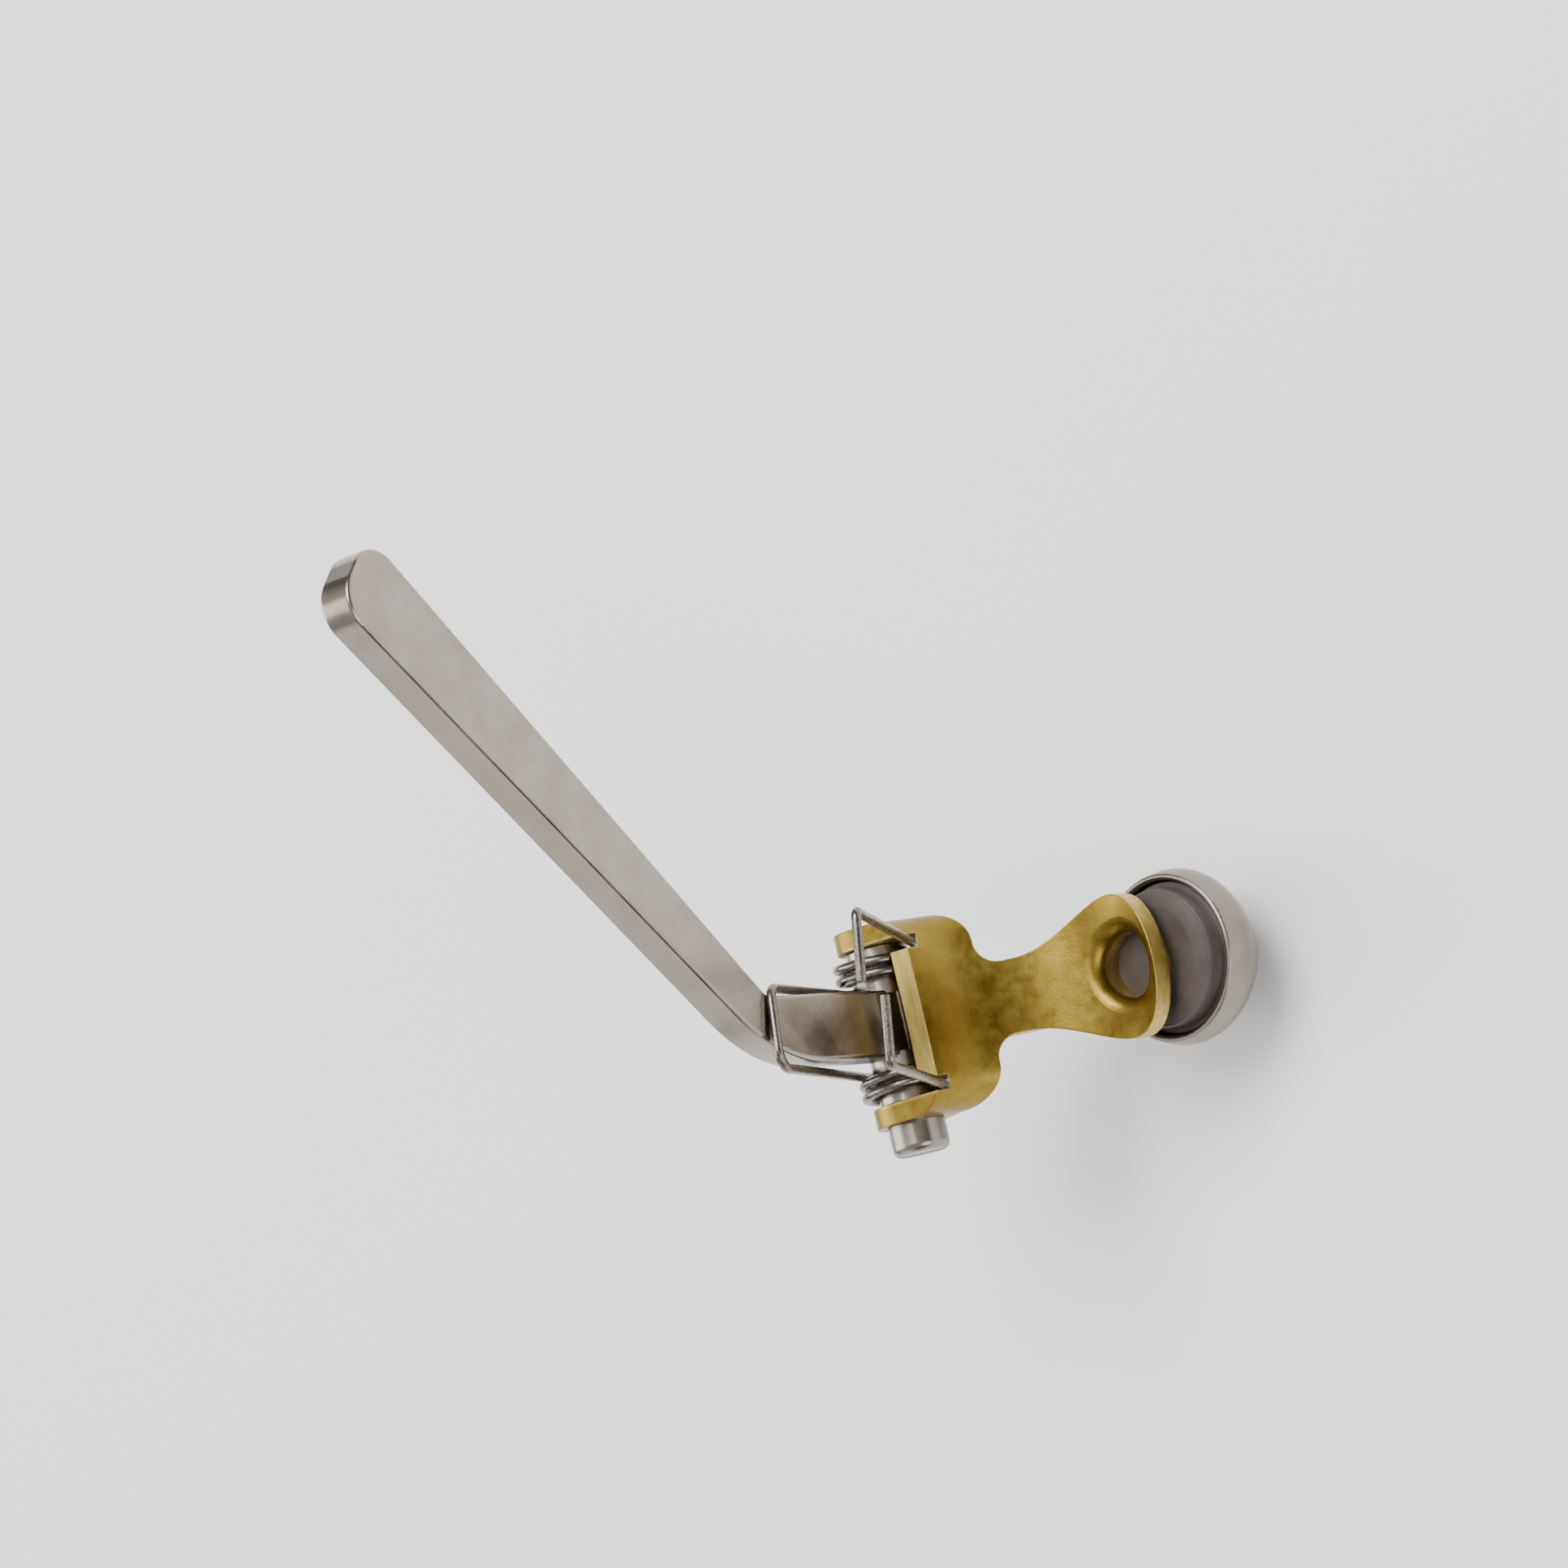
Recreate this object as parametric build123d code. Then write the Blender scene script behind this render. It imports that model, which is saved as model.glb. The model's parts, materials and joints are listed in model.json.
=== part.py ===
from build123d import *
from math import acos, asin, atan, cos, degrees, hypot, radians, sin, sqrt
import os

# Water key (spit valve) of a brass instrument: sprung hinged lever, pad cup and saddle.
#
# Frame: the instrument tube runs along Y through the origin. The drain nipple points down (-Z),
# the finger lever rises (+Z) and leans to +Y. "Polar" angles are measured around the tube axis,
# from the nipple direction towards the hinge, which is on the -X side. Lengths are in millimetres.

# Saddle: one pressed brass sheet that wraps the tube
tube_radius = 8.5
sheet = 1.2
nose_polar = 19.5          # how far the sheet runs past the nipple, away from the hinge
heel_polar = 89.5          # where the sheet ends, below the hinge
nose_half_width = 4.3
nose_widest_x = -0.2
neck_half_width = 2.2
neck_polar = 46
flare_start_pull = 1.9     # how long the flare runs level at the nose, and at the neck
flare_end_pull = 1.7
shoulder_polar = 75        # direction the wide hinge end is seen square on
shoulder_x = -2.2          # edge of the wide end, seen from there, with its inner and outer rounds
shoulder_inner_round = 1.4
shoulder_outer_round_x = 1.75
ear_gap = 9.4              # between the inner faces of the two ears
bend_radius = 0.8          # inside radius where the sheet folds up into an ear
ear_radius = 2.3
ear_root_polar = 72        # where the ear's front edge meets the sheet
leg_slot_width = 0.84
leg_slot_room = 0.11       # between the end of a slot and the spring leg in it
web_overlap = 8            # degrees that the two ends run into each other before they are trimmed
overshoot = 0.5            # how far a cutting shape runs past the sheet it cuts

# Drain nipple, drawn out of the sheet
bore_radius = 1.9
nipple_radius = 2.35
nipple_height = 1.63       # from the tube to the seat of the pad
lip_radius = 1.0
edge_tolerance = 0.05      # for telling the mouth of the bore from other edges

# Hinge
pivot_polar = 83.5
pivot_distance = 12.5
hinge_tube_radius = 1.85
pin_radius = 1.0
running_clearance = 0.04
end_play = 0.08
head_radius = 1.72
head_length = 1.85
head_round = 0.5
slot_width = 0.5
slot_depth = 0.8
slot_turn = -46

# Finger lever: flat bar that stands on the hinge tube, then kinks sideways
lever_lean = 8.0           # from the vertical, towards the tube
lever_thickness = 2.2
shank_length = 13.0
shank_width = 4.0
kink_angle = 43.85
arm_length = 39.85
tip_width = 5.56
tip_round = 2.1
outer_kink_round = 11.5
inner_kink_round = 1.0
bar_edge_round = 0.25
foot_round = 3.0           # hollow round between the shank's faces and the hinge tube

# Arm that carries the pad cup around the saddle
cup_arm_width = 2.4
cup_arm_thickness = 1.6

# Pad and cup, turned about one axis parallel to the nipple's
cup_offset = 1.08          # from the nipple's axis, away from the hinge
seat_gap = 0.02
pad_radius = 4.1
pad_proud = 1.0            # how far the pad stands out of the cup
pad_base_radius = 4.5
pad_base_drop = 0.5        # from the rim of the cup to the pad's wider base
pad_edge_round = 0.3
pad_back_round = 1.4
cup_rim_inner = 4.6
cup_rim_outer = 5.0
cup_rim_flare = 0.3        # outward lean of the wall at the rim
cup_belly = 5.18
cup_belly_share = 0.4      # depth of the widest place, as a share of the cup's depth
cup_haunch_share = 0.8     # radius of the haunch, as a share of the belly's
cup_haunch_depth_share = 0.85
cup_depth = 4.0
cup_back_flat = 2.2
cup_floor = 1.2
cup_floor_round = 1.3

# Return spring, one length of round wire
wire_diameter = 0.58
coil_radius = 2.5
coil_pitch = 0.72
loop_half_width = 2.5
loop_end_half_width = 2.4
loop_length = 13.5
loop_skew = 0.6            # how much further the loop reaches on its -Y side, and less on its +Y side
loop_gap = 0.08            # between the crossing wire and the lever
loop_round = 1.0
leg_rise = 55.6            # direction of the legs, from +X towards +Z
leg_length = 19.35
leg_splay = 0.24
hook_length = 4.0
hook_round = 0.5
hook_skew = 8              # turn of both hooks about their legs
coil_turns = 3             # whole turns counted from the loop's direction to the leg's
weld = 0.02                # how far a joint between two stretches of wire stands proud


def polar_point(polar, radius, y=0.0):
    """Point at a polar angle and distance from the tube axis."""
    return Vector(-radius * sin(radians(polar)), y, -radius * cos(radians(polar)))


def radial_plane(polar):
    """Plane through the tube axis: local x along the tube, local y outwards at that polar angle."""
    outwards = polar_point(polar, 1.0)
    along = Vector(0, 1, 0)
    return Plane(origin=(0, 0, 0), x_dir=along, z_dir=along.cross(outwards))


def facing_plane(polar):
    """Plane square to the radius at a polar angle: local x around the tube, local y along it."""
    outwards = polar_point(polar, 1.0)
    return Plane(origin=(0, 0, 0), x_dir=outwards.cross(Vector(0, -1, 0)), z_dir=outwards)


outer_radius = tube_radius + sheet
ear_inner = ear_gap / 2
ear_outer = ear_inner + sheet
pivot = polar_point(pivot_polar, pivot_distance)
seat_z = -(tube_radius + nipple_height)
rim_z = seat_z - seat_gap - pad_proud
hinge_half_length = ear_inner - end_play


def pivot_cylinder(radius, y_low, y_high):
    """Solid cylinder on the hinge axis between two places along it."""
    plane = Plane(origin=(pivot.X, y_low, pivot.Z), x_dir=(1, 0, 0), z_dir=(0, 1, 0))
    return extrude(plane * Circle(radius), y_high - y_low)


def nipple_end():
    """Neck and round nose of the sheet with the drain nipple drawn out of it."""
    first = -nose_polar - web_overlap
    last = neck_polar + 2 * web_overlap
    profile = Pos(0, tube_radius + sheet / 2) * Rectangle(4 * nose_half_width, sheet)
    body = revolve(radial_plane(first) * profile, Axis.Y, last - first)
    seat_plane = Plane(origin=(0, 0, seat_z), z_dir=(0, 0, 1))
    collar = extrude(seat_plane * Circle(nipple_radius), nipple_height)
    body += collar - Rot(90, 0, 0) * Cylinder(tube_radius + sheet / 2, 6 * nipple_radius)
    body -= extrude(seat_plane * Circle(bore_radius), 2 * nipple_height)
    body = fillet(body.edges().filter_by(is_mouth_edge), lip_radius)
    return body & nose_prism()


def is_mouth_edge(edge):
    """True for the edge where the nipple bore opens into the tube side of the sheet."""
    box = edge.bounding_box()
    is_bore_sized = abs(box.size.Y - 2 * bore_radius) < edge_tolerance
    return is_bore_sized and box.max.Z > -tube_radius


def nose_prism():
    """Outline of the neck and nose seen along the nipple."""
    tip_x = tube_radius * sin(radians(nose_polar))
    neck_x = -tube_radius * sin(radians(neck_polar))
    end_x = -outer_radius
    edges = [
        EllipticalCenterArc(
            (nose_widest_x, 0), tip_x - nose_widest_x, nose_half_width, start_angle=-90, arc_size=180
        ),
        Line((end_x, neck_half_width), (end_x, -neck_half_width)),
    ]
    for side in (1, -1):
        flare = Bezier(
            (nose_widest_x, side * nose_half_width),
            (nose_widest_x - flare_start_pull, side * nose_half_width),
            (neck_x + flare_end_pull, side * neck_half_width),
            (neck_x, side * neck_half_width),
        )
        edges += [flare, Line((neck_x, side * neck_half_width), (end_x, side * neck_half_width))]
    return extrude(make_face(edges), -2 * outer_radius)


def hinge_end():
    """Wide end of the sheet with both sides folded up into ears that hold the pivot."""
    first = neck_polar
    reach = pivot_distance + 2 * ear_radius
    section = Rectangle(2 * ear_outer, reach - tube_radius, align=(Align.CENTER, Align.MIN))
    section = fillet(section.vertices().group_by(Axis.Y)[0], bend_radius + sheet)
    hollow = Rectangle(2 * ear_inner, reach, align=(Align.CENTER, Align.MIN))
    hollow = fillet(hollow.vertices().group_by(Axis.Y)[0], bend_radius)
    channel = Pos(0, tube_radius) * (section - Pos(0, sheet) * hollow)
    body = revolve(radial_plane(first) * channel, Axis.Y, heel_polar + 2 * web_overlap - first)
    return body & shoulder_prism() & ear_prism()


def shoulder_prism():
    """Outline of the wide end seen square on, from the neck to past the heel."""
    neck_x = -tube_radius * sin(radians(shoulder_polar - neck_polar))
    heel_x = 2 * tube_radius
    inner_start = (shoulder_x - shoulder_inner_round, neck_half_width)
    inner_end = (shoulder_x, neck_half_width + shoulder_inner_round)
    ear_start_x = shoulder_x + shoulder_outer_round_x
    half_outline = [
        Polyline((ear_start_x, ear_outer), (heel_x, ear_outer), (heel_x, 0), (neck_x, 0)),
        Polyline((neck_x, 0), (neck_x, neck_half_width), inner_start),
        RadiusArc(inner_start, inner_end, -shoulder_inner_round),
        EllipticalCenterArc(
            (ear_start_x, inner_end[1]),
            shoulder_outer_round_x,
            ear_outer - inner_end[1],
            start_angle=90,
            arc_size=90,
        ),
    ]
    half = make_face(half_outline)
    outline = half + mirror(half, Plane.XZ)
    return extrude(facing_plane(shoulder_polar) * outline, 2 * pivot_distance)


def ear_prism():
    """Side view of the wide end: the sheet on the tube, and ears rounded about the pivot."""
    web = Circle(outer_radius + bend_radius) - Circle(tube_radius - overshoot)
    heel = polar_point(heel_polar, 3 * tube_radius)
    front = polar_point(neck_polar, 3 * tube_radius)
    wedge = make_face(Polyline((0, 0), (heel.X, heel.Z), (front.X, front.Z), close=True))
    web = web & wedge
    root = [polar_point(polar, tube_radius - overshoot) for polar in (ear_root_polar, heel_polar)]
    root_line = Line((root[0].X, root[0].Z), (root[1].X, root[1].Z))
    tab_circle = Pos(pivot.X, pivot.Z) * Circle(ear_radius)
    ear = make_hull(tab_circle.edges() + [root_line])
    return extrude(Plane.XZ * (web + ear), 2 * ear_outer, both=True)


def saddle_plate():
    """Pressed sheet with drawn nipple, ears drilled for the pivot, and slots for the spring legs."""
    body = nipple_end() + hinge_end()
    body -= pivot_cylinder(pin_radius + running_clearance, -2 * ear_outer, 0)
    body -= pivot_cylinder(pin_radius, 0, 2 * ear_outer)
    for side in (1, -1):
        body -= leg_slot(side)
    return body


def leg_slot(side):
    """Slot in the heel of the sheet, beside one ear, that lets a spring leg reach the tube."""
    slot_y = side * (ear_inner - leg_slot_width / 2)
    leg = around_pivot(coil_end, coil_radius, slot_y)
    plane = Plane(origin=leg, x_dir=direction(leg_rise), z_dir=(0, 1, 0))
    reach = 2 * coil_radius
    end = wire_diameter / 2 + leg_slot_room
    section = Rectangle(2 * reach, reach, align=(Align.CENTER, Align.MAX))
    return extrude(plane * Pos(0, end) * section, leg_slot_width / 2, both=True)


def pivot_screw():
    """Slotted cheese-head screw that passes the ears and the hinge tube."""
    head_start = -ear_outer
    shank = pivot_cylinder(pin_radius - running_clearance / 2, head_start, ear_outer)
    head = pivot_cylinder(head_radius, head_start - head_length, head_start)
    head = fillet(head.edges().group_by(Axis.Y)[0], head_round)
    screw = shank + head
    slot = Pos(pivot.X, head_start - head_length, pivot.Z) * Rot(0, slot_turn, 0)
    screw -= slot * Box(slot_width, 2 * slot_depth, 3 * head_radius)
    return screw


def hinge_tube():
    """Tube of the key that turns on the pivot screw."""
    outside = pivot_cylinder(hinge_tube_radius, -hinge_half_length, hinge_half_length)
    bore = pivot_cylinder(pin_radius + running_clearance, -ear_outer, ear_outer)
    return outside - bore


def lever_plane():
    """Mid-plane of the lever: local x up the shank, local y along the hinge."""
    up = Vector(sin(radians(lever_lean)), 0, cos(radians(lever_lean)))
    return Plane(origin=(pivot.X, 0, pivot.Z), x_dir=up, z_dir=up.cross(Vector(0, 1, 0)))


def key_lever():
    """Flat bar: shank on the hinge tube, sideways kink, and a finger arm that widens to its tip."""
    kink = radians(kink_angle)
    along = Vector(cos(kink), sin(kink))
    across = Vector(-sin(kink), cos(kink))
    bend = Vector(shank_length, 0)
    tip = bend + along * arm_length
    half = shank_width / 2
    inner_corner = Vector(shank_length, half)
    outer_corner = Vector(shank_length, -half)
    tip_half = tip_width / 2
    points = [
        Vector(0, -half),
        outer_corner,
        tip - across * tip_half,
        tip + across * tip_half,
        inner_corner,
        Vector(0, half),
    ]
    outline = make_face(Polyline(*points, close=True))
    outer_vertex = outline.vertices().sort_by_distance((outer_corner.X, outer_corner.Y))[0]
    outline = fillet(outer_vertex, outer_kink_round)
    inner_vertex = outline.vertices().sort_by_distance((inner_corner.X, inner_corner.Y))[0]
    outline = fillet(inner_vertex, inner_kink_round)
    tip_vertices = outline.vertices().sort_by_distance((tip.X, tip.Y))[:2]
    outline = fillet(tip_vertices, tip_round)
    bar = extrude(lever_plane() * outline, lever_thickness / 2, both=True)
    rims = bar.faces().filter_by(lever_plane()).edges()
    bar = fillet(rims, bar_edge_round)
    bar += lever_foot()
    return bar - pivot_cylinder(hinge_tube_radius, -ear_outer, ear_outer)


def lever_foot():
    """Braze metal in the corners between the shank and the hinge tube, hollow on both faces."""
    face = lever_thickness / 2
    rise = sqrt((hinge_tube_radius + foot_round) ** 2 - (face + foot_round) ** 2)
    share = hinge_tube_radius / (hinge_tube_radius + foot_round)
    on_tube = Vector(rise, face + foot_round) * share
    half_outline = [
        Polyline((rise, face), (rise, 0), (0, 0), (0, on_tube.Y), (on_tube.X, on_tube.Y)),
        RadiusArc((on_tube.X, on_tube.Y), (rise, face), -foot_round),
    ]
    half = make_face(half_outline)
    across = lever_plane().z_dir
    side_view = Plane(origin=pivot, x_dir=lever_plane().x_dir, z_dir=lever_plane().x_dir.cross(across))
    foot_width = shank_width / 2 - bar_edge_round
    return extrude(side_view * (half + mirror(half, Plane.XZ)), foot_width, both=True)


def cup_profile():
    """Half section of the pad cup: local x from the cup's axis, local y down from the rim."""
    rim_middle = (cup_rim_inner + cup_rim_outer) / 2
    rim_half = (cup_rim_outer - cup_rim_inner) / 2
    floor_depth = cup_depth - cup_floor
    floor_radius = cup_rim_inner - cup_floor_round
    wall_end = floor_depth - cup_floor_round
    outside = Spline(
        (cup_rim_outer, rim_half),
        (cup_belly, cup_belly_share * cup_depth),
        (cup_haunch_share * cup_belly, cup_haunch_depth_share * cup_depth),
        (cup_back_flat, cup_depth),
        tangents=[(cup_rim_flare, 1), (-1, 0)],
    )
    edges = [
        outside,
        ThreePointArc((cup_rim_inner, rim_half), (rim_middle, 0), (cup_rim_outer, rim_half)),
        Line((cup_back_flat, cup_depth), (0, cup_depth)),
        Line((0, cup_depth), (0, floor_depth)),
        Line((0, floor_depth), (floor_radius, floor_depth)),
        RadiusArc((floor_radius, floor_depth), (cup_rim_inner, wall_end), cup_floor_round),
        Line((cup_rim_inner, wall_end), (cup_rim_inner, rim_half)),
    ]
    return make_face(edges)


def cup_filled():
    """Half section of the cup with its hollow filled, for cutting what meets its outside."""
    floor_depth = cup_depth - cup_floor
    hollow = Pos(cup_rim_inner / 2, floor_depth / 2) * Rectangle(cup_rim_inner, floor_depth)
    return cup_profile() + hollow


def turned(section, start_z):
    """Solid turned about the cup's axis, from a section whose local y points down from start_z."""
    plane = Plane(origin=(cup_offset, 0, start_z), x_dir=(1, 0, 0), z_dir=(0, 1, 0))
    return revolve(plane * section, Axis((cup_offset, 0, 0), (0, 0, 1)))


def pad_cup():
    """Turned bowl that holds the pad."""
    return turned(cup_profile(), rim_z)


def pad():
    """Moulded silicone disc that closes the nipple, on a wider base that fills the cup."""
    base_height = cup_depth - cup_floor - pad_base_drop
    plane = Plane(origin=(cup_offset, 0, rim_z - pad_base_drop - base_height), z_dir=(0, 0, 1))
    disc = extrude(plane * Circle(pad_radius), base_height + pad_base_drop + pad_proud)
    disc += extrude(plane * Circle(pad_base_radius), base_height)
    disc = fillet(disc.edges().group_by(Axis.Z)[-1], pad_edge_round)
    return fillet(disc.edges().group_by(Axis.Z)[0], pad_back_round)


def cup_arm():
    """Bar bent in one arc from the hinge tube, round the outside of the saddle, to the cup's back."""
    back_z = rim_z - cup_depth
    end_z = back_z - cup_arm_thickness / 2
    span = cup_offset - pivot.X
    centre_z = (end_z**2 - pivot.Z**2 - span**2) / (2 * (end_z - pivot.Z))
    bend = centre_z - end_z
    middle = acos((centre_z - pivot.Z) / bend) / 2
    path = ThreePointArc(
        (pivot.X, 0, pivot.Z),
        (cup_offset - bend * sin(middle), 0, centre_z - bend * cos(middle)),
        (cup_offset, 0, end_z),
    )
    section = Plane(origin=path @ 0, x_dir=(0, 1, 0), z_dir=path % 0)
    bar = sweep(section * RectangleRounded(cup_arm_width, cup_arm_thickness, bar_edge_round), path)
    end = Plane(origin=(cup_offset, 0, back_z - cup_arm_thickness), z_dir=(0, 0, 1))
    bar += extrude(end * Circle(cup_arm_width / 2), cup_arm_thickness)
    bar -= pivot_cylinder(hinge_tube_radius, -ear_outer, ear_outer)
    return bar - turned(cup_filled(), rim_z)


def direction(angle):
    """Unit vector square to the hinge axis, with its angle from +X towards +Z."""
    return Vector(cos(radians(angle)), 0, sin(radians(angle)))


def around_pivot(angle, radius, y):
    """Point around the hinge axis, with its angle from +X towards +Z."""
    return Vector(pivot.X, y, pivot.Z) + direction(angle) * radius


loop_rest = lever_thickness / 2 + loop_gap + wire_diameter / 2
loop_reach = hypot(loop_length, loop_rest)
loop_rise = 90 - lever_lean - degrees(atan(loop_rest / loop_length) + asin(coil_radius / loop_reach))
loop_side = sqrt(loop_reach**2 - coil_radius**2)
coil_start = loop_rise + 90
coil_end = leg_rise - 90 + coil_turns * 360
coil_width = (coil_end - coil_start) / 360 * coil_pitch
leg_y = loop_half_width + coil_width


def wire(path):
    """Round wire along a path."""
    return sweep(Plane(origin=path @ 0, z_dir=path % 0) * Circle(wire_diameter / 2), path)


def spring_coil(side):
    """Coil around one end of the hinge tube, wound outwards from the loop to the leg."""
    plane = Plane(
        origin=(pivot.X, side * loop_half_width, pivot.Z),
        x_dir=direction(coil_start),
        z_dir=(0, side, 0),
    )
    return wire(plane * Helix(coil_pitch, coil_width, coil_radius, lefthand=side > 0))


def spring_leg(side):
    """Straight leg from a coil past the tube, with its hook bent inwards."""
    start = around_pivot(coil_end, coil_radius, side * leg_y)
    corner = start + direction(leg_rise) * leg_length + Vector(0, side * leg_splay, 0)
    skew = radians(hook_skew)
    inwards = direction(leg_rise + 90) * sin(skew) - Vector(0, cos(skew), 0)
    tip = corner + inwards * side * hook_length
    return wire(FilletPolyline(start, corner, tip, radius=hook_round))


def spring_loop():
    """Loop along both sides of the shank that crosses over its tube side at the kink."""
    starts = [around_pivot(coil_start, coil_radius, side * loop_half_width) for side in (1, -1)]
    corners = []
    for side, start in zip((1, -1), starts):
        narrowing = Vector(0, side * (loop_half_width - loop_end_half_width), 0)
        corners.append(start + direction(loop_rise) * (loop_side - side * loop_skew) - narrowing)
    path = FilletPolyline(starts[0], corners[0], corners[1], starts[1], radius=loop_round)
    return wire(path)


def return_spring():
    """Double torsion spring bent from one length of wire."""
    body = spring_loop()
    for side in (1, -1):
        for angle, y in ((coil_start, loop_half_width), (coil_end, leg_y)):
            joint = around_pivot(angle, coil_radius, side * y)
            body += Pos(joint.X, joint.Y, joint.Z) * Sphere(wire_diameter / 2 + weld)
        body += spring_coil(side)
        body += spring_leg(side)
    return body


sub_parts = {
    "saddle_plate": saddle_plate,
    "pivot_screw": pivot_screw,
    "hinge_tube": hinge_tube,
    "key_lever": key_lever,
    "cup_arm": cup_arm,
    "pad_cup": pad_cup,
    "pad": pad,
    "return_spring": return_spring,
}

os.makedirs("parts", exist_ok=True)
for name, make in sub_parts.items():
    export_step(make(), f"parts/{name}.step")
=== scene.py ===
"""Looks of the water key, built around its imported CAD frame.

Lengths below are in millimetres unless a name says otherwise, and `mm` turns them into metres.
"""
import json
import math

import bmesh
import bpy
from mathutils import Matrix, Vector


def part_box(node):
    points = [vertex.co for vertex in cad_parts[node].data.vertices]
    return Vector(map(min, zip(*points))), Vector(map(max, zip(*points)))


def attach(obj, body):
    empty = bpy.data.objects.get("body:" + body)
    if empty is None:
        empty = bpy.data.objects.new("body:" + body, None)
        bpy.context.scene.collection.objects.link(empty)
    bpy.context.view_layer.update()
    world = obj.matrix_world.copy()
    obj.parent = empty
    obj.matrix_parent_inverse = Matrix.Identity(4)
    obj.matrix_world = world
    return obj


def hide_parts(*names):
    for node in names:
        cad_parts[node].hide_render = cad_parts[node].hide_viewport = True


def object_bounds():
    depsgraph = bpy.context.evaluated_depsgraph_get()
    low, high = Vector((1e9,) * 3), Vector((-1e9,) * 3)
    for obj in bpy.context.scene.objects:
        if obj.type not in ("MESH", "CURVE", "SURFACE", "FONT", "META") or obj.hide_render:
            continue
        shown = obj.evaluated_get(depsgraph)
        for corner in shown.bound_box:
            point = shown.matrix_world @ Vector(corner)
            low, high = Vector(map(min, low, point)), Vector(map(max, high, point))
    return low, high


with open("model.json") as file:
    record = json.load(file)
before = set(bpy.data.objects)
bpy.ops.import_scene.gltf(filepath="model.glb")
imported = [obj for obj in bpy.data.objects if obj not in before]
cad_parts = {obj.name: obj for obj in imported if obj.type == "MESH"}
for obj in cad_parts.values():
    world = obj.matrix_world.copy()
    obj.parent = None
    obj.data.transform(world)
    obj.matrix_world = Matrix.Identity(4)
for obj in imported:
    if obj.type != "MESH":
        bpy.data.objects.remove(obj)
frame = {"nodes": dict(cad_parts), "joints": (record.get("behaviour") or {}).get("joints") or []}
cad_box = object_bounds()
nodes = frame["nodes"]
mm = 0.001

# Camera, in the row frame
camera_back = Vector((0.6867, -0.1510, 0.7111))   # from the object to the camera
image_up = Vector((0.2639, 0.9632, -0.0503))
camera_distance = 500.0
field_width = 90.75                            # seen across the frame at the tube axis
frame_centre_right = -13.89                    # middle of the frame from the row's origin
frame_centre_up = 11.06
sensor_width = 36.0

# Studio: lights are (name, place, width, height, power) in metres and watts
backdrop = (0.62, 0.62, 0.61)                  # surroundings where they are seen directly
horizon = (0.03, 0.028, 0.026)                 # surroundings in the metal, from level to overhead
low_sky = (0.25, 0.24, 0.23)
high_sky = (1.0, 0.99, 0.97)
sky_strength = 0.75
soft_lights = (
    ("key_light", (0.10, 0.35, 0.55), 0.45, 0.45, 6.0),
    ("fill_light", (0.50, -0.30, 0.20), 0.40, 0.30, 1.8),
    ("rim_light", (-0.45, 0.05, 0.35), 0.30, 0.50, 2.3),
    ("side_panel", (-0.34, -0.48, 0.16), 0.50, 0.28, 0.7),
)
floor_half = 3.0                               # metres
floor_gap = 0.0002                             # metres under the lowest point
floor_dark = (0.90, 0.90, 0.90)
floor_light = (0.92, 0.92, 0.92)

# Colours, as linear red, green and blue
lever_light = (0.335, 0.296, 0.256)
lever_dark = (0.275, 0.240, 0.203)
# the cup's nickel is painted darker than the lever's: painted shade
cup_light_shaded = (0.290, 0.256, 0.222)
cup_dark_shaded = (0.225, 0.196, 0.166)
screw_light = (0.300, 0.265, 0.230)
screw_dark = (0.225, 0.197, 0.168)
nickel_pit = (0.10, 0.08, 0.06)
# brighter nickel for edges: rubbed wear with a painted highlight
nickel_worn_highlight = (0.50, 0.46, 0.41)
brass_dark = (0.175, 0.105, 0.014)
brass_middle = (0.240, 0.158, 0.026)
brass_light = (0.315, 0.222, 0.050)
# painted shade for the hollow beside the heel
brass_hollow_shade = (0.10, 0.045, 0.002)
brass_sheared_dark = (0.52, 0.39, 0.11)
brass_sheared_light = (0.76, 0.60, 0.24)
# brighter brass for edges: rubbed wear with a painted highlight
brass_worn_highlight = (0.60, 0.45, 0.15)
steel_dark = (0.10, 0.085, 0.07)
steel_middle = (0.18, 0.158, 0.137)
steel_light = (0.27, 0.245, 0.22)
silicone_dark = (0.050, 0.037, 0.032)
silicone_light = (0.078, 0.061, 0.055)
silicone_dust = (0.15, 0.13, 0.12)

# Surface detail
edge_samples = 6
nickel_soft_edge = 0.06
# Edges with rubbed wear and a painted highlight: the nickel's width
nickel_wear_highlight_width = 0.12
nickel_pit_strength = 0.25
brass_soft_edge = 0.12
# Edges with rubbed wear and a painted highlight: the brass's width and strength
brass_wear_highlight_width = 0.14
brass_wear_highlight_strength = 0.55

# Hinge, from the record
hinge = frame["joints"][0]
pivot = Vector(hinge["pos_m"])

# Saddle
ear_inner = 4.7                # inner face of an ear from the middle
ear_fade = 0.2                 # width over which the sheared look ends at an ear
sheared_strength = 0.8
# Painted shade in the hollow beside the heel: darker brass fading out around a centre
hollow_shade_centre = Vector((-8.3, -0.6, -1.8)) * mm
hollow_shade_core = 2.6               # ragged distance at which the painted shade starts to fade
hollow_shade_reach = 5.6              # ragged distance at which it has ended
hollow_shade_ragged = 3.0             # most that noise adds to the distance from the centre
hollow_shade_strength = 0.6

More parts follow.
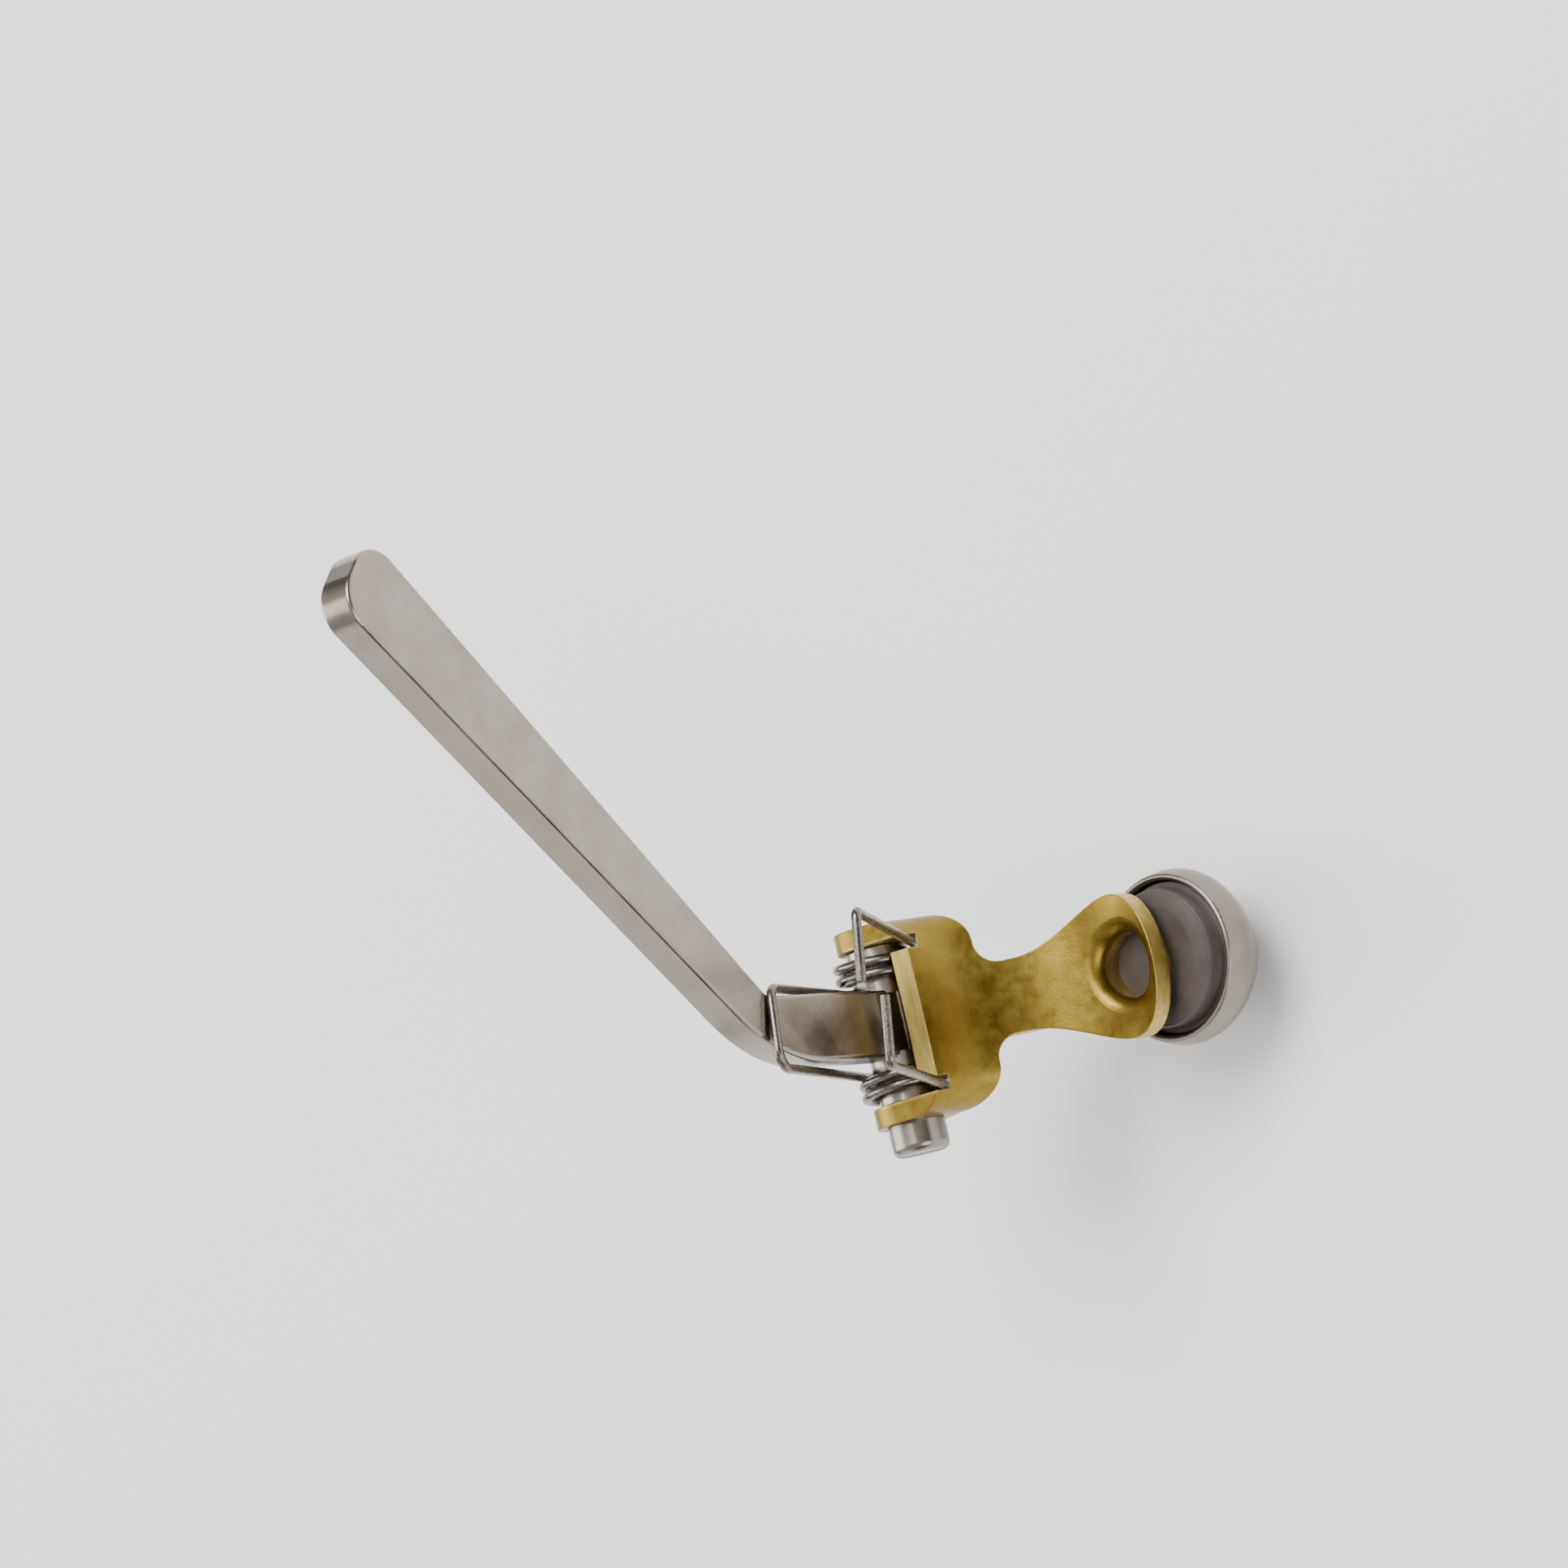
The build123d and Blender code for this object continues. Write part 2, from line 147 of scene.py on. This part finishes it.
# Return spring, one length of round wire
wire_radius = 0.29
coil_radius = 2.5
coil_pitch = 0.72
loop_half_width = 2.5
loop_end_half_width = 2.4
loop_length = 13.5
loop_skew = 0.6                # further on the -Y side, less far on the +Y side
loop_stand_off = 1.47          # middle of the wire from the middle of the lever
loop_round = 1.0
lever_lean = 8.0
leg_rise = 55.6
leg_length = 19.35
leg_splay = 0.24
hook_length = 4.0
hook_round = 0.5
hook_skew = 8
coil_turns = 3                 # whole turns from the loop's direction to the leg's
coil_share_on_key = 0.5        # the key carries this much of each coil, the saddle the rest
coil_overlap = 30.0            # degrees that the two shares run inside each other
hidden_wire_scale = 0.86       # thickness of the saddle's share where it runs inside the key's
coil_step = 6.0                # degrees between points on a coil
bend_steps = 10
wire_resolution = 7            # bevel resolution of the round wire, not its number of sides

# Pad
pad_low, pad_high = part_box("pad")
pad_base_radius = (pad_high.x - pad_low.x) / 2
pad_top = Vector(((pad_low.x + pad_high.x) / 2, 0, pad_high.z))
pad_radius = 4.1
pad_base_drop = 1.5            # from the pad's face to its wider base
pad_flat_share = 0.76          # flat middle of the pad's face, as a share of its radius
pad_slope_drop = 0.30
pad_soft_width = 0.1           # width of the soft change at each end of the slope
pad_flat_sag = 0.01            # drop at the edge of the flat
pad_slope_lift = 0.04          # how far the slope's last point stays above its end
pad_edge_round = 0.2
pad_base_round = 0.12
pad_back_round = 1.4
lathe_segments = 128
edge_steps = 8


def tree_of(name):
    """New node material: returns the material, its node tree and its Principled shader."""
    material = bpy.data.materials.new(name)
    material.use_nodes = True
    tree = material.node_tree
    return material, tree, tree.nodes["Principled BSDF"]


def node(tree, kind, settings=None, **inputs):
    """Adds a shader node, sets its properties, and sets or links its inputs by socket name."""
    made = tree.nodes.new(kind)
    for key, value in (settings or {}).items():
        setattr(made, key, value)
    for key, value in inputs.items():
        socket = made.inputs[key.replace("_", " ")]
        if isinstance(value, bpy.types.NodeSocket):
            tree.links.new(value, socket)
        else:
            socket.default_value = value
    return made


def coordinates(tree, stretch=(1, 1, 1), turn=(0, 0, 0)):
    """Object coordinates, scaled and turned, as the vector for a texture."""
    source = node(tree, "ShaderNodeTexCoord").outputs["Object"]
    mapping = node(tree, "ShaderNodeMapping", Vector=source, Scale=stretch, Rotation=turn)
    return mapping.outputs["Vector"]


def noise(tree, vector, scale, detail=4.0, rough=0.55):
    """Noise value at a scale in features per metre."""
    made = node(tree, "ShaderNodeTexNoise", Vector=vector, Scale=scale, Detail=detail)
    made.inputs["Roughness"].default_value = rough
    return made.outputs["Fac"]


def ramp(tree, value, stops):
    """Colour ramp over a value, with stops of (place, colour)."""
    made = node(tree, "ShaderNodeValToRGB", Fac=value)
    elements = made.color_ramp.elements
    while len(elements) < len(stops):
        elements.new(0.5)
    for element, (place, colour) in zip(elements, stops):
        element.position = place
        element.color = (*colour, 1.0)
    return made.outputs["Color"]


def remap(tree, value, low, high, to_low, to_high):
    """Value moved from one range to another, held at its ends."""
    made = node(tree, "ShaderNodeMapRange", Value=value)
    for socket, number in zip(("From Min", "From Max", "To Min", "To Max"), (low, high, to_low, to_high)):
        made.inputs[socket].default_value = number
    return made.outputs["Result"]


def combine(tree, operation, first, second):
    """Maths on two values."""
    made = tree.nodes.new("ShaderNodeMath")
    made.operation = operation
    for socket, value in zip(made.inputs, (first, second)):
        if isinstance(value, bpy.types.NodeSocket):
            tree.links.new(value, socket)
        else:
            socket.default_value = value
    return made.outputs[0]


def weighted(tree, first, second, share):
    """Sum of two values, with the first at a share and the second at the rest."""
    part = combine(tree, "MULTIPLY", first, share)
    rest = combine(tree, "MULTIPLY", second, 1 - share)
    return combine(tree, "ADD", part, rest)


def mix_colours(tree, share, first, second):
    """Colour between two others."""
    made = tree.nodes.new("ShaderNodeMix")
    made.data_type = "RGBA"
    for socket, value in (("Factor", share), ("A", first), ("B", second)):
        kind = "VALUE" if socket == "Factor" else "RGBA"
        target = [s for s in made.inputs if s.name == socket and s.type == kind][0]
        if isinstance(value, bpy.types.NodeSocket):
            tree.links.new(value, target)
        else:
            target.default_value = value if kind == "VALUE" else (*value, 1.0)
    return [s for s in made.outputs if s.type == "RGBA"][0]


def bumped(tree, height, distance, soft_edge=0.0):
    """Normal with a height map on it, over edges rounded by soft_edge, both in millimetres."""
    bump = node(tree, "ShaderNodeBump", Height=height, Distance=distance * mm)
    if soft_edge:
        edge = node(tree, "ShaderNodeBevel", {"samples": edge_samples}, Radius=soft_edge * mm)
        tree.links.new(edge.outputs["Normal"], bump.inputs["Normal"])
    return bump.outputs["Normal"]


def edge_wear_and_highlight(tree, radius):
    """1 on edges and 0 on flats: how far the rounded normal turns from the true one. It sets where edges
    are brightened, as rubbed wear with a painted highlight.
    """
    rounded = node(tree, "ShaderNodeBevel", {"samples": edge_samples}, Radius=radius * mm).outputs["Normal"]
    true = node(tree, "ShaderNodeNewGeometry").outputs["Normal"]
    alike = node(tree, "ShaderNodeVectorMath", {"operation": "DOT_PRODUCT"})
    tree.links.new(rounded, alike.inputs[0])
    tree.links.new(true, alike.inputs[1])
    return remap(tree, alike.outputs["Value"], 0.98, 0.75, 0.0, 1.0)


def nickel(name, roughness, light, dark, wear_and_highlight):
    """Nickel plate: warm pale grey, clouded, with fine pits, buffing marks and brighter edges, rubbed and
    with a painted highlight.
    """
    material, tree, shader = tree_of(name)
    plain = coordinates(tree)
    cloud = noise(tree, plain, 420, 3)
    grain = noise(tree, plain, 9000, 2, 0.7)
    buffed = noise(tree, coordinates(tree, (1, 12, 1), (0.3, 0.5, 0.2)), 2600, 3)
    colour = ramp(tree, cloud, [(0.32, dark), (0.68, light)])
    pits = remap(tree, noise(tree, plain, 4600, 1), 0.18, 0.25, 1.0, 0.0)
    colour = mix_colours(tree, combine(tree, "MULTIPLY", pits, nickel_pit_strength), colour, nickel_pit)
    # Painted highlight with rubbed wear: brighter nickel on the edges
    worn_and_highlit = combine(tree, "MULTIPLY", edge_wear_and_highlight(tree, nickel_wear_highlight_width), wear_and_highlight)
    colour = mix_colours(tree, worn_and_highlit, colour, nickel_worn_highlight)
    tree.links.new(colour, shader.inputs["Base Color"])
    shader.inputs["Metallic"].default_value = 1.0
    rough = remap(tree, cloud, 0.3, 0.7, roughness - 0.05, roughness + 0.07)
    rough = combine(tree, "ADD", rough, combine(tree, "MULTIPLY", grain, 0.05))
    tree.links.new(rough, shader.inputs["Roughness"])
    height = weighted(tree, buffed, grain, 0.6)
    tree.links.new(bumped(tree, height, 0.007, nickel_soft_edge), shader.inputs["Normal"])
    return material


def brass():
    """Raw pressed brass: mottled olive gold, darker in its clouds, bright on the sheared edges, with
    painted shade in the hollow beside the heel and rubbed edges brightened by a painted highlight.
    """
    material, tree, shader = tree_of("brass_pressed")
    plain = coordinates(tree)
    cloud = noise(tree, plain, 330, 5, 0.6)
    mottle = noise(tree, plain, 1500, 4, 0.6)
    mixed = weighted(tree, cloud, mottle, 0.6)
    colour = ramp(tree, mixed, [(0.30, brass_dark), (0.50, brass_middle), (0.70, brass_light)])
    # Painted shade: darker brass in the hollow beside the heel
    colour = mix_colours(tree, painted_hollow_shade(tree), colour, brass_hollow_shade)
    sheared = sheared_edge(tree)
    streaks = noise(tree, coordinates(tree, (1, 0.15, 1)), 3200, 3)
    edge_colour = ramp(tree, streaks, [(0.35, brass_sheared_dark), (0.65, brass_sheared_light)])
    colour = mix_colours(tree, sheared, colour, edge_colour)
    # Painted highlight with rubbed wear: brighter brass on the edges
    worn_and_highlit = combine(tree, "MULTIPLY", edge_wear_and_highlight(tree, brass_wear_highlight_width), brass_wear_highlight_strength)
    colour = mix_colours(tree, worn_and_highlit, colour, brass_worn_highlight)
    tree.links.new(colour, shader.inputs["Base Color"])
    shader.inputs["Metallic"].default_value = 1.0
    rough = remap(tree, mottle, 0.3, 0.7, 0.30, 0.42)
    rough = combine(tree, "ADD", rough, combine(tree, "MULTIPLY", sheared, 0.2))
    tree.links.new(rough, shader.inputs["Roughness"])
    grain = noise(tree, plain, 7000, 3, 0.65)
    height = weighted(tree, mottle, grain, 0.5)
    tree.links.new(bumped(tree, height, 0.02, brass_soft_edge), shader.inputs["Normal"])
    return material


def painted_hollow_shade(tree):
    """Painted shade in the hollow beside the heel, at its set strength and fading to 0."""
    source = node(tree, "ShaderNodeTexCoord").outputs["Object"]
    offset = node(tree, "ShaderNodeVectorMath", {"operation": "SUBTRACT"})
    tree.links.new(source, offset.inputs[0])
    offset.inputs[1].default_value = hollow_shade_centre
    distance = node(tree, "ShaderNodeVectorMath", {"operation": "LENGTH"})
    tree.links.new(offset.outputs["Vector"], distance.inputs[0])
    ragged = combine(tree, "MULTIPLY", noise(tree, source, 600, 3), hollow_shade_ragged * mm)
    reach = combine(tree, "ADD", distance.outputs["Value"], ragged)
    return remap(tree, reach, hollow_shade_core * mm, hollow_shade_reach * mm, hollow_shade_strength, 0.0)


def sheared_edge(tree):
    """sheared_strength on the cut edges between the ears, whose faces stand square to the sheet."""
    source = node(tree, "ShaderNodeTexCoord")
    flat = node(tree, "ShaderNodeVectorMath", {"operation": "MULTIPLY"})
    tree.links.new(source.outputs["Object"], flat.inputs[0])
    flat.inputs[1].default_value = (1, 0, 1)
    outwards = node(tree, "ShaderNodeVectorMath", {"operation": "NORMALIZE"})
    tree.links.new(flat.outputs[0], outwards.inputs[0])
    along = node(tree, "ShaderNodeVectorMath", {"operation": "DOT_PRODUCT"})
    tree.links.new(outwards.outputs[0], along.inputs[0])
    tree.links.new(source.outputs["Normal"], along.inputs[1])
    facing = combine(tree, "ABSOLUTE", along.outputs["Value"], 0.0)
    place = node(tree, "ShaderNodeSeparateXYZ", Vector=source.outputs["Object"]).outputs["Y"]
    sideways = combine(tree, "ABSOLUTE", place, 0.0)
    between_ears = remap(tree, sideways, ear_inner * mm, (ear_inner + ear_fade) * mm, 1.0, 0.0)
    square = remap(tree, facing, 0.35, 0.10, 0.0, sheared_strength)
    return combine(tree, "MULTIPLY", square, between_ears)


def spring_steel():
    """Drawn spring wire: bright grey with speckled scale."""
    material, tree, shader = tree_of("spring_wire")
    plain = coordinates(tree)
    speckle = noise(tree, plain, 7000, 3, 0.6)
    cloud = noise(tree, plain, 900, 3)
    colour = ramp(tree, speckle, [(0.30, steel_dark), (0.50, steel_middle), (0.70, steel_light)])
    tree.links.new(colour, shader.inputs["Base Color"])
    shader.inputs["Metallic"].default_value = 1.0
    tree.links.new(remap(tree, cloud, 0.3, 0.7, 0.20, 0.38), shader.inputs["Roughness"])
    tree.links.new(bumped(tree, speckle, 0.006), shader.inputs["Normal"])
    return material


def silicone():
    """Moulded silicone rubber: matt grey-brown with a faint bloom and dust."""
    material, tree, shader = tree_of("silicone_moulded")
    plain = coordinates(tree)
    cloud = noise(tree, plain, 500, 4)
    grain = noise(tree, plain, 8000, 3, 0.7)
    colour = ramp(tree, cloud, [(0.3, silicone_dark), (0.7, silicone_light)])
    dust = remap(tree, noise(tree, plain, 4200, 2), 0.68, 0.78, 0.0, 0.35)
    colour = mix_colours(tree, dust, colour, silicone_dust)
    tree.links.new(colour, shader.inputs["Base Color"])
    tree.links.new(remap(tree, grain, 0.3, 0.7, 0.48, 0.62), shader.inputs["Roughness"])
    shader.inputs["Specular IOR Level"].default_value = 0.35
    tree.links.new(bumped(tree, grain, 0.015), shader.inputs["Normal"])
    return material


def paint(obj, material):
    """Gives an object one material in place of those it has."""
    obj.data.materials.clear()
    obj.data.materials.append(material)


def direction(angle):
    """Unit vector square to the hinge axis, with its angle from +X towards +Z."""
    turn = math.radians(angle)
    return Vector((math.cos(turn), 0, math.sin(turn)))


def around_hinge(angle, radius, y):
    """Point around the hinge axis in metres, with its angle from +X towards +Z."""
    return pivot + (direction(angle) * radius + Vector((0, y, 0))) * mm


def rounded(before, corner, after, radius):
    """Points of an arc of that radius in millimetres in a corner between two straight runs."""
    back = (before - corner).normalized()
    ahead = (after - corner).normalized()
    half = back.angle(ahead) / 2
    reach = radius * mm / math.tan(half)
    middle = corner + (back + ahead).normalized() * (radius * mm / math.sin(half))
    start = corner + back * reach - middle
    end = corner + ahead * reach - middle
    axis = start.cross(end)
    sweep = start.angle(end)
    turns = [sweep * i / bend_steps for i in range(bend_steps + 1)]
    return [middle + Matrix.Rotation(turn, 3, axis) @ start for turn in turns]


def wire(name, points, scales=None):
    """Round wire through points, as a mesh tube with flat cut ends."""
    curve = bpy.data.curves.new(name + "_path", "CURVE")
    curve.dimensions = "3D"
    curve.bevel_depth = wire_radius * mm
    curve.bevel_resolution = wire_resolution
    curve.use_fill_caps = True
    line = curve.splines.new("POLY")
    line.points.add(len(points) - 1)
    for i, point in enumerate(points):
        line.points[i].co = (*point, 1.0)
        line.points[i].radius = scales[i] if scales else 1.0
    holder = bpy.data.objects.new(name + "_path", curve)
    bpy.context.scene.collection.objects.link(holder)
    bpy.context.view_layer.update()
    evaluated = holder.evaluated_get(bpy.context.evaluated_depsgraph_get())
    mesh = bpy.data.meshes.new_from_object(evaluated)
    bpy.data.objects.remove(holder)
    for polygon in mesh.polygons:
        polygon.use_smooth = len(polygon.vertices) == 4
    tube = bpy.data.objects.new(name, mesh)
    bpy.context.scene.collection.objects.link(tube)
    return tube


loop_reach = math.hypot(loop_length, loop_stand_off)
loop_rise = 90 - lever_lean - math.degrees(
    math.atan(loop_stand_off / loop_length) + math.asin(coil_radius / loop_reach)
)
loop_side = math.sqrt(loop_reach**2 - coil_radius**2)
coil_start = loop_rise + 90
coil_end = leg_rise - 90 + coil_turns * 360
coil_split = coil_start + (coil_end - coil_start) * coil_share_on_key


def coil_point(angle, side):
    """Point on one coil at an angle counted up from the loop to the leg."""
    y = loop_half_width + (angle - coil_start) / 360 * coil_pitch
    return around_hinge(angle, coil_radius, side * y)


def coil_angles(first, last):
    """Angles in even steps along a coil, ends included."""
    count = math.ceil((last - first) / coil_step)
    return [first + (last - first) * i / count for i in range(count + 1)]


def spring_loop():
    """Loop over the lever with the inner share of both coils, which turn with the key."""
    inner = coil_angles(coil_start, coil_split + coil_overlap / 2)
    corners = []
    for side in (1, -1):
        reach = loop_side - side * loop_skew
        corners.append(coil_point(coil_start, side) + direction(loop_rise) * reach * mm)
        corners[-1].y = side * loop_end_half_width * mm
    points = [coil_point(angle, 1) for angle in reversed(inner)]
    points += rounded(coil_point(coil_start, 1), corners[0], corners[1], loop_round)
    points += rounded(corners[0], corners[1], coil_point(coil_start, -1), loop_round)
    points += [coil_point(angle, -1) for angle in inner]
    return wire("spring_loop", points)


def spring_leg(name, side):
    """Outer share of one coil with its leg and hook, which stay with the saddle."""
    outer = coil_angles(coil_split - coil_overlap / 2, coil_end)
    points = [coil_point(angle, side) for angle in outer]
    hidden_end = coil_split + coil_overlap / 2
    scales = [hidden_wire_scale if angle < hidden_end else 1.0 for angle in outer]
    corner = points[-1] + (direction(leg_rise) * leg_length + Vector((0, side * leg_splay, 0))) * mm
    skew = math.radians(hook_skew)
    inwards = direction(leg_rise + 90) * math.sin(skew) - Vector((0, math.cos(skew), 0))
    tip = corner + inwards * side * hook_length * mm
    bend = rounded(points[-1], corner, tip, hook_round) + [tip]
    return wire(name, points + bend, scales + [1.0] * len(bend))


def quarter_round(r, drop, radius, outside):
    """Points of a rounded edge that ends at r: from level to upright outside, or back to level."""
    points = []
    for i in range(edge_steps + 1):
        turn = math.radians(90 * i / edge_steps)
        if outside:
            points.append((r - radius + radius * math.sin(turn), drop + radius - radius * math.cos(turn)))
        else:
            points.append((r - radius + radius * math.cos(turn), drop - radius + radius * math.sin(turn)))
    return points


def pad_profile():
    """Half section of the pad as (radius, drop below the face) in metres, from middle to back."""
    base = pad_base_radius / mm
    thickness = (pad_high.z - pad_low.z) / mm
    flat = pad_radius * pad_flat_share
    rim = pad_radius - pad_edge_round
    points = [(0.0, 0.0), (flat / 2, 0.0), (flat - pad_soft_width, 0.0), (flat, pad_flat_sag)]
    points.append((rim - pad_soft_width, pad_slope_drop - pad_slope_lift))
    points += quarter_round(pad_radius, pad_slope_drop, pad_edge_round, True)
    points.append((pad_radius, pad_base_drop))
    points += quarter_round(base, pad_base_drop, pad_base_round, True)
    points += quarter_round(base, thickness, pad_back_round, False)
    points.append((0.0, thickness))
    return [(r * mm, drop * mm) for r, drop in points]


def lathe(name, profile, top):
    """Solid turned about the upright axis through top, from (radius, drop) points from axis to axis."""
    mesh = bpy.data.meshes.new(name)
    work = bmesh.new()
    previous = None
    for r, drop in profile:
        ring = []
        for i in range(lathe_segments if r else 1):
            turn = 2 * math.pi * i / lathe_segments
            ring.append(work.verts.new(top + Vector((r * math.cos(turn), r * math.sin(turn), -drop))))
        if previous:
            for i in range(lathe_segments):
                quad = [
                    previous[i % len(previous)],
                    ring[i % len(ring)],
                    ring[(i + 1) % len(ring)],
                    previous[(i + 1) % len(previous)],
                ]
                work.faces.new(list(dict.fromkeys(quad)))
        previous = ring
    bmesh.ops.recalc_face_normals(work, faces=work.faces)
    for face in work.faces:
        face.smooth = True
    work.to_mesh(mesh)
    work.free()
    made = bpy.data.objects.new(name, mesh)
    bpy.context.scene.collection.objects.link(made)
    return made


def floor(lowest):
    """Wide pale floor under the object."""
    mesh = bpy.data.meshes.new("floor")
    signs = ((-1, -1), (1, -1), (1, 1), (-1, 1))
    corners = [(x * floor_half, y * floor_half, lowest) for x, y in signs]
    mesh.from_pydata(corners, [], [(0, 1, 2, 3)])
    made = bpy.data.objects.new("floor", mesh)
    bpy.context.scene.collection.objects.link(made)
    material, tree, shader = tree_of("floor_pale")
    tint = noise(tree, coordinates(tree), 3, 2)
    colour = ramp(tree, tint, [(0.3, floor_dark), (0.7, floor_light)])
    tree.links.new(colour, shader.inputs["Base Color"])
    shader.inputs["Roughness"].default_value = 0.9
    made.data.materials.append(material)


def softbox(name, place, target, width, height, power):
    """Soft rectangular light at a place, aimed at a target, in metres and watts."""
    data = bpy.data.lights.new(name, "AREA")
    data.shape = "RECTANGLE"
    data.size = width
    data.size_y = height
    data.energy = power
    lamp = bpy.data.objects.new(name, data)
    lamp.location = place
    lamp.rotation_euler = (Vector(target) - Vector(place)).to_track_quat("-Z", "Y").to_euler()
    bpy.context.scene.collection.objects.link(lamp)


def studio():
    """Surroundings pale above and dark at the horizon, with the soft lights.

    The dark horizon only shows in the metal: seen directly, the surroundings are one pale grey.
    """
    world = bpy.data.worlds.new("studio")
    world.use_nodes = True
    tree = world.node_tree
    view = node(tree, "ShaderNodeTexCoord").outputs["Generated"]
    height = node(tree, "ShaderNodeSeparateXYZ", Vector=view).outputs["Z"]
    tint = ramp(tree, height, [(0.02, horizon), (0.30, low_sky), (0.70, high_sky)])
    seen = node(tree, "ShaderNodeLightPath").outputs["Is Camera Ray"]
    tint = mix_colours(tree, seen, tint, backdrop)
    background = tree.nodes["Background"]
    tree.links.new(tint, background.inputs["Color"])
    background.inputs["Strength"].default_value = sky_strength
    bpy.context.scene.world = world
    middle = (cad_box[0] + cad_box[1]) / 2
    for name, place, width, tall, power in soft_lights:
        softbox(name, place, middle, width, tall, power)


def camera():
    """Camera at the photograph's angle, looking square at the middle of the frame."""
    back = camera_back.normalized()
    right = image_up.cross(back).normalized()
    up = back.cross(right)
    target = (right * frame_centre_right + up * frame_centre_up) * mm
    data = bpy.data.cameras.new("camera")
    data.sensor_width = sensor_width
    data.lens = sensor_width * camera_distance / field_width
    data.clip_start = 0.01
    made = bpy.data.objects.new("camera", data)
    turn = Matrix((right, up, back)).transposed().to_4x4()
    made.matrix_world = Matrix.Translation(target + back * camera_distance * mm) @ turn
    bpy.context.scene.collection.objects.link(made)
    bpy.context.scene.camera = made


camera()
studio()
floor(cad_box[0].z - floor_gap)

# The last number sets how far the edges are brightened: rubbed wear with a painted highlight.
lever_nickel = nickel("nickel_lever", 0.21, lever_light, lever_dark, wear_and_highlight=0.35)
# The cup's nickel is darker than the lever's, as painted shade.
cup_nickel_shaded = nickel("nickel_cup_shaded", 0.30, cup_light_shaded, cup_dark_shaded, wear_and_highlight=0.05)
screw_nickel = nickel("nickel_screw", 0.24, screw_light, screw_dark, wear_and_highlight=0.1)
paint(nodes["key_lever"], lever_nickel)
paint(nodes["cup_arm"], lever_nickel)
paint(nodes["hinge_tube"], lever_nickel)
paint(nodes["pad_cup"], cup_nickel_shaded)
paint(nodes["pivot_screw"], screw_nickel)
paint(nodes["saddle_plate"], brass())

steel = spring_steel()
loop = spring_loop()
paint(loop, steel)
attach(loop, "key")
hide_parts("return_spring")
for leg_name, leg_side in (("spring_leg_upper", 1), ("spring_leg_lower", -1)):
    leg = spring_leg(leg_name, leg_side)
    paint(leg, steel)
    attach(leg, "saddle")
    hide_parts("return_spring")

silicone_pad = lathe("silicone_pad", pad_profile(), pad_top)
paint(silicone_pad, silicone())
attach(silicone_pad, "key")
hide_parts("pad")
